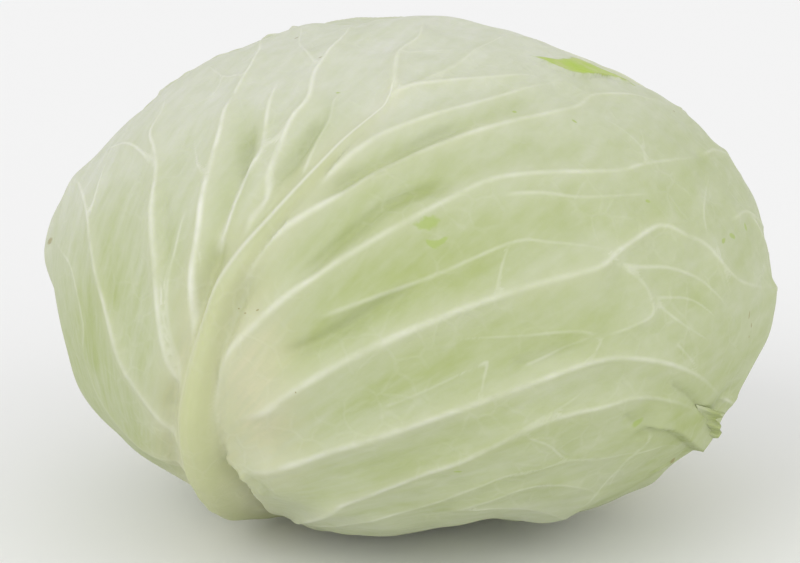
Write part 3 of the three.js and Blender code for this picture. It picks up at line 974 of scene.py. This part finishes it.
def leaf_mesh(name, outer, inner, looks):
    """The closed shell of a leaf: a fine outer face, a coarser inner face and the rim."""
    side = round(np.sqrt(len(outer)))
    kept = np.arange(side * side).reshape(side, side)[::INNER_STEP, ::INNER_STEP].ravel()
    inner_side = round(np.sqrt(len(kept)))
    first = side * side  # the inner face's points follow the outer face's
    outer_quads, inner_quads = grid_quads(side), grid_quads(inner_side)[:, ::-1]
    to_inner, to_outer = rim_faces(side, inner_side)  # with two outer corners, with one
    uv_outer, uv_inner = grid_uv(side, UV_OUTER), grid_uv(inner_side, UV_INNER)
    away = (uv_outer[kept] - UV_OUTER[0] - UV_OUTER[1] / 2) / (UV_OUTER[1] / 2)
    uv_band = uv_outer[kept] + UV_RIM * np.where(np.abs(away) > 1 - 1e-6, np.sign(away), 0)
    faces = [
        *outer_quads.tolist(),
        *(inner_quads + first).tolist(),
        *(to_inner + [0, 0, first]).tolist(),
        *(to_outer + [0, first, first]).tolist(),
    ]
    uvs = [
        uv_outer[outer_quads.ravel()],
        uv_inner[inner_quads.ravel()],
        rim_uv(to_inner, uv_outer, uv_outer, uv_band),
        rim_uv(to_outer, uv_outer, uv_band, uv_band),
    ]
    looks = {look: np.concatenate([values, values[kept]]) for look, values in looks.items()}
    mesh = smooth_mesh(name, np.vstack([outer, inner[kept]]), faces, looks)
    mesh.uv_layers.new(name="OFBake").uv.foreach_set("vector", np.vstack(uvs).astype(np.float32).ravel())
    return mesh


def smooth_mesh(name, points, faces, looks):
    """A smooth-shaded mesh of points in millimetres, with the looks that its material reads."""
    mesh = bpy.data.meshes.new(name)
    mesh.from_pydata((points * MM).tolist(), [], faces)
    for look, values in looks.items():
        add_attribute(mesh, look, values)
    mesh.shade_smooth()
    return mesh


def add_attribute(mesh, name, values):
    """Hands the material a number or a vector at each point of a mesh."""
    kind, field = ("FLOAT", "value") if values.ndim == 1 else ("FLOAT_VECTOR", "vector")
    attribute = mesh.attributes.new(name, kind, "POINT")
    attribute.data.foreach_set(field, values.astype(np.float32).ravel())


def round_mesh(name, bottom, rings, top, looks):
    """A closed round body from its lowest point, rings of points going up and its highest point."""
    count, round_count = rings.shape[:2]
    at = 1 + np.arange(count * round_count).reshape(count, round_count)
    following = np.roll(at, -1, axis=1)
    last = count * round_count + 1
    quads = np.stack([at[:-1], following[:-1], following[1:], at[1:]], axis=-1).reshape(-1, 4)
    low = [[0, b, a] for a, b in zip(at[0], following[0])]
    high = [[last, a, b] for a, b in zip(at[-1], following[-1])]
    faces = [*quads.tolist(), *np.array(low + high).tolist()]
    return smooth_mesh(name, np.vstack([bottom, rings.reshape(-1, 3), top]), faces, looks)


# ---------------------------------------------------------------- materials


def srgb(red, green, blue):
    """A colour given as 0 to 255, as the linear numbers that Blender takes."""
    share = np.array([red, green, blue]) / 255
    linear = np.where(share <= 0.04045, share / 12.92, ((share + 0.055) / 1.055) ** 2.4)
    return (*linear.tolist(), 1.0)


class Nodes:
    """A material's node tree, built with short calls that return sockets."""

    def __init__(self, name):
        self.material = bpy.data.materials.new(name)
        self.material.use_nodes = True
        self.tree = self.material.node_tree
        self.shader = self.tree.nodes["Principled BSDF"]

    def node(self, kind, inputs=(), **settings):
        """A new node, with its inputs by name or number and its other settings."""
        made = self.tree.nodes.new(kind)
        for key, value in settings.items():
            setattr(made, key, value)
        for key, value in dict(inputs).items():
            self.feed(made.inputs[key], value)
        return made

    def feed(self, socket, value):
        """Links a socket to another, or sets it to a plain value."""
        if isinstance(value, bpy.types.NodeSocket):
            self.tree.links.new(value, socket)
        else:
            socket.default_value = value

    def attribute(self, name, output="Fac"):
        return self.node("ShaderNodeAttribute", attribute_name=name).outputs[output]

    def maths(self, operation, *values, clamp=False):
        return self.node(
            "ShaderNodeMath", dict(enumerate(values)), operation=operation, use_clamp=clamp
        ).outputs[0]

    def step(self, value, low, high):
        """Smoothly 0 to 1 as the value goes from low to high."""
        made = self.node("ShaderNodeMapRange", {"Value": value}, interpolation_type="SMOOTHSTEP")
        made.inputs["From Min"].default_value = low
        made.inputs["From Max"].default_value = high
        return made.outputs["Result"]

    def blend(self, factor, first, second):
        """From the first colour to the second as the factor goes from 0 to 1."""
        made = self.node("ShaderNodeMix", data_type="RGBA")
        self.feed(made.inputs["Factor"], factor)
        self.feed(made.inputs[6], first)
        self.feed(made.inputs[7], second)
        return made.outputs[2]

    def in_turn(self, operation, values):
        """The operation on the first two values, then on what comes out and the next."""
        total = values[0]
        for value in values[1:]:
            total = self.maths(operation, total, value)
        return total

    def times(self, *values):
        return self.in_turn("MULTIPLY", values)

    def plus(self, *values):
        return self.in_turn("ADD", values)

    def one_less(self, value):
        """1 minus the value."""
        return self.maths("SUBTRACT", 1, value)

    def band(self, value, middle, half):
        """1 where the value is at the middle, smoothly down to 0 at half away from it."""
        away = self.maths("ABSOLUTE", self.maths("SUBTRACT", value, middle))
        return self.one_less(self.step(away, 0, half))

    def vector(self, operation, *values):
        return self.node("ShaderNodeVectorMath", dict(enumerate(values)), operation=operation).outputs

    def scaled(self, vector, *sizes):
        """A vector with its parts divided by sizes."""
        return self.vector("MULTIPLY", vector, tuple(1 / size for size in sizes))["Vector"]

    def bump(self, height, strength=1.0):
        """The surface's direction on a fine relief, whose height is in millimetres."""
        inputs = {"Height": height, "Distance": MM, "Strength": strength}
        return self.node("ShaderNodeBump", inputs).outputs["Normal"]

    def centred(self, size, detail=2.0, at=None):
        """Noise from about -0.5 to 0.5."""
        return self.maths("SUBTRACT", self.noise(size, detail, at), 0.5)

    def place(self):
        """Where each point is, in metres."""
        return self.node("ShaderNodeTexCoord").outputs["Object"]

    def noise(self, size, detail=2.0, at=None):
        """Noise from 0 to 1 with features about size millimetres wide, or size of at's own units."""
        scale = 1 / (size * MM) if at is None else 1 / size
        inputs = {"Vector": at or self.place(), "Scale": scale, "Detail": detail}
        return self.node("ShaderNodeTexNoise", inputs).outputs["Fac"]

    def set(self, **values):
        """Sets the shader's inputs, each given by its name with _ for a space."""
        for key, value in values.items():
            self.feed(self.shader.inputs[key.replace("_", " ")], value)


# Colours of each kind of leaf; the midrib's pale edge line among them is a painted highlight
LEAF_COLOURS = {
    "outer_leaf": {
        "pale": srgb(209, 211, 197),
        "green": srgb(157, 170, 97),
        "vein": srgb(229, 230, 218),
        "halo": srgb(202, 205, 176),
        "rib": srgb(190, 197, 146),
        "rib_highlight": srgb(210, 212, 178),
        "cream": srgb(206, 203, 170),
    },
    "inner_leaf": {
        "pale": srgb(214, 218, 196),
        "green": srgb(184, 197, 138),
        "vein": srgb(222, 224, 206),
        "halo": srgb(212, 216, 186),
        "rib": srgb(206, 210, 168),
        "rib_highlight": srgb(219, 220, 194),
        "cream": srgb(214, 214, 184),
    },
}
# The tear's painted rim shadow, then its two greens
TEAR_COLOURS = (srgb(146, 164, 80), srgb(180, 192, 116), srgb(168, 192, 72))
BRUISE = srgb(163, 181, 102)
SCAR = srgb(150, 138, 92)


def leaf_material(name, colours, front=False):
    """A leaf: its streaky blade from pale to green, then the midrib, the veins and any marks over it."""
    nodes = Nodes(name)
    streak = nodes.attribute("streak", "Vector")
    streaky = nodes.centred(1, 3, nodes.scaled(streak, 34, 5, 1))
    grain = nodes.centred(1, 3, nodes.scaled(streak, 8, 2.2, 1))
    vein = vein_crests(nodes)
    net = nodes.times(net_of(nodes), nodes.step(nodes.noise(18, 2), 0.42, 0.62))
    colour = with_midrib(nodes, blade_colour(nodes, colours, streaky, grain), colours)
    colour = nodes.blend(nodes.times(net, 0.06), colour, colours["vein"])
    colour = nodes.blend(nodes.times(vein, 0.8), colour, colours["vein"])
    if front:
        colour = with_marks(nodes, colour)
    height = nodes.plus(
        nodes.times(vein, 0.22),
        nodes.times(net, 0.07),
        nodes.times(streaky, 0.25),
        nodes.times(nodes.noise(1.1, 3), 0.05),
        nodes.times(nodes.noise(6, 3), 0.4),
    )
    nodes.set(
        Base_Color=colour,
        Roughness=nodes.plus(nodes.times(nodes.noise(5, 3), 0.16), 0.42),
        Normal=nodes.bump(height, 0.7),
        Subsurface_Weight=0.12,
        Subsurface_Radius=(1.0, 1.2, 0.5),
        Subsurface_Scale=0.003,
        Specular_IOR_Level=0.25,
    )
    return nodes.material


def vein_crests(nodes):
    """How pale the veins' crests make each place, unevenly along them."""
    close = nodes.band(nodes.attribute("vein_side"), 0, 1.1)
    near = nodes.one_less(nodes.step(nodes.attribute("vein_away"), 0.95, 1.3))
    uneven = nodes.plus(0.8, nodes.times(nodes.centred(11, 3), 2.6))
    return nodes.times(close, near, nodes.attribute("vein_pale"), uneven)


def blade_colour(nodes, colours, streaky, grain):
    """The blade: pale to green, creamy beside the midrib and paler on the swells under the veins."""
    green = nodes.plus(
        nodes.attribute("green"),
        nodes.times(nodes.centred(24, 3), 0.16),
        nodes.times(streaky, 0.42),
        nodes.times(grain, 0.28),
        nodes.times(nodes.centred(7, 4), 0.14),
    )
    colour = nodes.blend(nodes.maths("ADD", green, 0, clamp=True), colours["pale"], colours["green"])
    cream = nodes.times(nodes.attribute("cream"), nodes.plus(0.72, streaky, grain))
    colour = nodes.blend(cream, colour, colours["cream"])
    halo = nodes.times(nodes.attribute("halo"), nodes.plus(0.4, streaky))
    return nodes.blend(halo, colour, colours["halo"])


def with_midrib(nodes, colour, colours):
    """The midrib over the blade's colour; higher up only a pale crest is left of it."""
    rib, high = nodes.attribute("rib"), nodes.step(nodes.attribute("rib_share"), 0.56, 0.78)
    faded = nodes.times(rib, nodes.one_less(nodes.times(high, 0.85)))
    colour = nodes.blend(faded, colour, rib_colour(nodes, colours))
    crest = nodes.times(nodes.band(nodes.attribute("rib_side"), 0.45, 0.4), rib, high, 0.6)
    return nodes.blend(crest, colour, colours["vein"])


def rib_colour(nodes, colours):
    """The midrib: greenish, with long fibres and a painted highlight along its left edge, the side that
    faces the key light.
    """
    share, side = nodes.attribute("rib_share"), nodes.attribute("rib_side")
    fibre_at = nodes.node("ShaderNodeCombineXYZ", {0: share, 1: side}).outputs[0]
    fibres = nodes.noise(1, 3, nodes.scaled(fibre_at, 0.3, 0.3, 1))
    colour = nodes.blend(nodes.times(fibres, 0.5), colours["rib"], colours["cream"])
    # painted highlight along the midrib's left edge, which faces the key light
    line = nodes.times(nodes.band(side, 0.7, 0.3), 0.7)
    return nodes.blend(line, colour, colours["rib_highlight"])


def marks(nodes, spot, places):
    """Where any of the small marks is: 1 inside, 0 outside, with uneven edges."""
    uneven = nodes.times(nodes.centred(1.6, 2), 0.9)
    found = 0.0
    for (right, up), (long, wide), turn in places:
        mapped = nodes.node(
            "ShaderNodeMapping",
            {
                "Vector": spot,
                "Location": (right, up, 0),
                "Rotation": (0, 0, np.radians(turn)),
                "Scale": (long, wide, 1),
            },
            vector_type="TEXTURE",
        ).outputs[0]
        length = nodes.vector("LENGTH", mapped)["Value"]
        inside = nodes.one_less(nodes.step(nodes.plus(length, uneven), 0.6, 1.25))
        found = nodes.maths("MAXIMUM", found, inside)
    return found


def with_marks(nodes, colour):
    """The front leaf's tear, with a painted shadow along its rim, and its bruises and scars over its colour.
    """
    spot, tear = nodes.attribute("spot", "Vector"), nodes.attribute("tear")
    tear_rim_shadow, green, bright = TEAR_COLOURS
    torn = nodes.blend(nodes.step(nodes.noise(9, 3), 0.35, 0.65), green, bright)
    tear = nodes.plus(tear, nodes.times(nodes.centred(5, 4), 4))
    # painted shadow in a broken dark line just inside the tear's rim
    torn = nodes.blend(nodes.times(nodes.band(tear, 0.2, 0.8), nodes.noise(5, 2)), torn, tear_rim_shadow)
    colour = nodes.blend(nodes.step(tear, -1, 1.1), colour, torn)
    colour = nodes.blend(nodes.times(marks(nodes, spot, GREEN_MARKS), 0.8), colour, BRUISE)
    return nodes.blend(nodes.times(marks(nodes, spot, BROWN_MARKS), 0.7), colour, SCAR)


def net_of(nodes):
    """The fine net of veinlets between the veins."""
    bent = nodes.node("ShaderNodeTexNoise", {"Vector": nodes.place(), "Scale": 1 / (9 * MM)})
    push = nodes.vector("MULTIPLY", bent.outputs["Color"], (4 * MM, 4 * MM, 4 * MM))["Vector"]
    inputs = {"Vector": nodes.vector("ADD", nodes.place(), push)["Vector"], "Scale": 1 / (7.5 * MM)}
    cells = nodes.node("ShaderNodeTexVoronoi", inputs, feature="DISTANCE_TO_EDGE")
    return nodes.one_less(nodes.step(cells.outputs["Distance"], 0.0, 0.11))


# ---------------------------------------------------------------- the pieces


def add_object(name, data):
    made = bpy.data.objects.new(name, data)
    bpy.context.scene.collection.objects.link(made)
    return made


def as_piece(name, mesh, material, slot, *nodes):
    """Puts a mesh with its material into the scene, attached to the root, in place of the CAD nodes, which
    it hides; the slot is not used.
    """
    piece = add_object(name, mesh)
    mesh.materials.append(material)
    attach(piece, "root")
    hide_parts(*nodes)


def build_leaf(order, material):
    """Draws a leaf on its map and lays it round the head."""
    leaf = leaves[order]
    if order == FRONT:
        draw_front(leaf)
    else:
        draw_other(leaf)
    spots = leaf_spots(leaf, CELLS.get(leaf.name, OTHER_CELLS))
    outer, inner, looks = leaf_faces(leaf, order, spots)
    mesh = leaf_mesh(leaf.name + "_look", outer, inner, looks)
    as_piece(leaf.name + "_look", mesh, material, leaf.slot, leaf.name)


def build_frill(material):
    """The crinkled scrap of margin that stands out at the front leaf's right end."""
    leaf = leaves[FRONT]
    side = FRILL_CELLS + 1
    along, out = (grid.ravel() for grid in np.meshgrid(*[np.linspace(0, 1, side)] * 2))
    root = smooth_line(FRILL_ROOT, 0.2)
    start = root[np.round(along * (len(root) - 1)).astype(int)]
    ragged = 1.04 + 0.16 * np.sin(13 * along) + 0.15 * np.sin(37 * along + 1)
    spots = start + out[:, None] * ragged[:, None] * FRILL_WAY
    towards = leaf.map.towards(spots)
    ruffle = out * (1.2 * np.sin(10 * along + 2.5 * out) + 0.4 * np.sin(27 * along - 3 * out))
    radius = blade_radius(towards) - BLADE_SINK + 0.5 + FRILL_LIFT * out**2 + ruffle
    outer = towards * radius[:, None] + CENTRE
    inner = towards * (radius - 0.6 + 0.2 * out)[:, None] + CENTRE
    looks = {
        "green": 0.62 + 0.25 * out,
        "halo": 0.3 * bell(np.sin(9 * along) * 2.5) * (1 - out),
        "streak": streaks(leaf, spots),
    }
    mesh = leaf_mesh("front_leaf_frill", outer, inner, looks)
    as_piece("front_leaf_frill", mesh, material, leaf.slot, leaf.name)


def build_heart():
    """The tight inner head, right under the innermost leaves."""
    round_count, down = 96, 60
    elevations = np.linspace(-90, 90, down + 1)
    azimuths = np.arange(round_count) * 360 / round_count
    towards = direction(*np.meshgrid(azimuths, elevations)).reshape(-1, 3)
    depth, _, _ = layering(-1, towards)
    floor = (CENTRE[2] - HEART_FLOOR) / np.maximum(-towards[:, 2], 0.05)
    wrinkles = 0.35 * waviness(towards, np.random.default_rng(7), 7) - 0.7
    radius = np.minimum(blade_radius(towards) - depth - HEART_CLEARANCE + wrinkles, floor)
    points = (towards * radius[:, None] + CENTRE).reshape(down + 1, round_count, 3)
    mesh = round_mesh("heart_look", points[0, :1], points[1:-1], points[-1, :1], {})
    as_piece("heart_look", mesh, heart_material(), "heart", "heart")


STEM_BEVEL = 1.5
STEM_DISH = 0.4  # how far the middle of the cut face is hollowed in from the stem's foot
STEM_RING = 0.5  # how far the woody ring stands out of the cut face


def stem_profile():
    """The stem from the middle of its cut face to its top: share of its radius, height over its foot."""
    bark_height = STEM_HIGH[2] - STEM_LOW[2] - STEM_BEVEL
    cut = [
        (share, STEM_DISH * bell(share / 0.6) - STEM_RING * bell((share - 0.8) / 0.07))
        for share in np.linspace(0.06, 0.93, 22)
    ]
    bark = [(1.0 + 0.05 * up, STEM_BEVEL + up * bark_height) for up in np.linspace(0, 1, 40)]
    return np.array([*cut, (0.975, 0.5), *bark]).T


def build_stem():
    """The short cut stem: a dished cut face with a raised ring, then the scarred bark round it."""
    round_count = 120
    azimuths = np.arange(round_count) * 2 * np.pi / round_count
    shares, heights = (part[:, None] for part in stem_profile())
    uneven = sum(
        size * np.sin(count * azimuths + phase)
        for count, size, phase in ((5, 0.018, 1), (11, 0.012, 0), (29, 0.006, 0))
    )
    scars = 0.02 * np.sin(3 * azimuths + heights * 0.9) * np.sin(heights * 1.7)
    radius = STEM_RADIUS * 0.97 * (shares + smoothstep(shares, 0.9, 1) * (uneven + scars))
    x, y = CENTRE[0] + radius * np.cos(azimuths), CENTRE[1] + radius * np.sin(azimuths)
    z = np.broadcast_to(STEM_LOW[2] + heights, x.shape)
    across = np.concatenate([[0], np.repeat(np.minimum(shares, 1), round_count), [1]])
    foot, top = ([*CENTRE[:2], height] for height in (STEM_LOW[2] + STEM_DISH, STEM_HIGH[2]))
    mesh = round_mesh("stem_look", foot, np.stack([x, y, z], axis=-1), top, {"across": across})
    as_piece("stem_look", mesh, stem_material(), "stem", "stem")


def heart_material():
    """The inner head: smooth and pale, with the same net of veinlets as the leaves."""
    nodes = Nodes("heart")
    net = net_of(nodes)
    green = nodes.plus(nodes.times(nodes.noise(22, 3), 0.6), nodes.times(nodes.centred(3, 3), 0.3))
    colour = nodes.blend(green, srgb(224, 226, 206), srgb(206, 212, 168))
    colour = nodes.blend(nodes.times(net, 0.3), colour, srgb(230, 230, 214))
    height = nodes.plus(nodes.times(net, 0.2), nodes.times(nodes.noise(5, 3), 0.5))
    nodes.set(Base_Color=colour, Normal=nodes.bump(height), Roughness=nodes.plus(nodes.noise(4), 0.05))
    return nodes.material


def stem_material():
    """Moist pith, the woody ring round it and the browned, fibrous rest of the cut stem."""
    nodes = Nodes("stem")
    across = nodes.plus(nodes.attribute("across"), nodes.times(nodes.centred(4, 3), 0.08))
    fibres = nodes.noise(0.7, 4)
    pith = nodes.blend(fibres, srgb(206, 204, 164), srgb(222, 220, 188))
    wood = nodes.blend(fibres, srgb(196, 184, 132), srgb(216, 207, 164))
    bark = nodes.blend(nodes.noise(3, 4), srgb(190, 192, 142), srgb(208, 208, 168))
    colour = nodes.blend(nodes.step(across, 0.6, 0.72), pith, wood)
    colour = nodes.blend(nodes.step(across, 0.84, 0.92), colour, bark)
    browned = nodes.times(nodes.step(nodes.noise(6, 4), 0.5, 0.75), 0.55)
    colour = nodes.blend(browned, colour, srgb(168, 146, 98))
    height = nodes.plus(nodes.times(fibres, 0.35), nodes.times(nodes.noise(3, 3), 0.5))
    nodes.set(Base_Color=colour, Normal=nodes.bump(height), Roughness=nodes.plus(nodes.noise(3), 0.2))
    return nodes.material


materials = {slot: leaf_material(slot, colours) for slot, colours in LEAF_COLOURS.items()}
front_material = leaf_material("front_leaf", LEAF_COLOURS["outer_leaf"], front=True)
for order, leaf in enumerate(leaves):
    build_leaf(order, front_material if order == FRONT else materials[leaf.slot])
build_frill(materials["outer_leaf"])
build_heart()
build_stem()

# ---------------------------------------------------------------- stage, light and camera


def add_floor():
    """A wide pale floor, in metres."""
    half = 6.0
    mesh = bpy.data.meshes.new("floor")
    corners = [(-half, -half, 0), (half, -half, 0), (half, half, 0), (-half, half, 0)]
    mesh.from_pydata(corners, [], [(0, 1, 2, 3)])
    floor = add_object("floor", mesh)
    nodes = Nodes("pale_floor")
    nodes.set(Base_Color=(0.87, 0.87, 0.87, 1), Roughness=0.9, Specular_IOR_Level=0.0)
    mesh.materials.append(nodes.material)


def add_world(strength):
    """An even white sky, seen brighter than it shines so that it matches the floor."""
    world = bpy.data.worlds.new("studio")
    bpy.context.scene.world = world
    world.use_nodes = True
    tree = world.node_tree
    background = tree.nodes["Background"]
    background.inputs["Color"].default_value = (1, 1, 1, 1)
    seen = tree.nodes.new("ShaderNodeLightPath").outputs["Is Camera Ray"]
    shine = tree.nodes.new("ShaderNodeMapRange")
    shine.inputs["To Min"].default_value = strength
    shine.inputs["To Max"].default_value = 1.0
    tree.links.new(seen, shine.inputs["Value"])
    tree.links.new(shine.outputs["Result"], background.inputs["Strength"])


def add_sun(name, azimuth, elevation, spread, strength):
    """A wide soft light from a direction."""
    light = bpy.data.lights.new(name, "SUN")
    light.angle = np.radians(spread)
    light.energy = strength
    towards = Vector(direction(azimuth, elevation))
    lamp = add_object(name, light)
    lamp.location = towards
    lamp.rotation_euler = towards.to_track_quat("Z", "Y").to_euler()


CAMERA_ELEVATION = 14
CAMERA_OFFSET = np.array([-3.96, -605.25, 147.68])  # from the head's centre


def add_camera():
    """The photo's camera, looking down at the cabbage along +Y."""
    data = bpy.data.cameras.new("camera")
    data.lens = 85
    data.sensor_width = 36
    camera = add_object("camera", data)
    camera.location = Vector((CENTRE + CAMERA_OFFSET) * MM)
    camera.rotation_euler = (np.radians(90 - CAMERA_ELEVATION), 0, 0)
    bpy.context.scene.camera = camera


add_floor()
add_world(0.82)
add_sun("key", azimuth=-134, elevation=36, spread=40, strength=0.74)
add_sun("fill", azimuth=-50, elevation=0, spread=100, strength=1.2)
add_camera()
bpy.context.scene.view_settings.view_transform = "Standard"
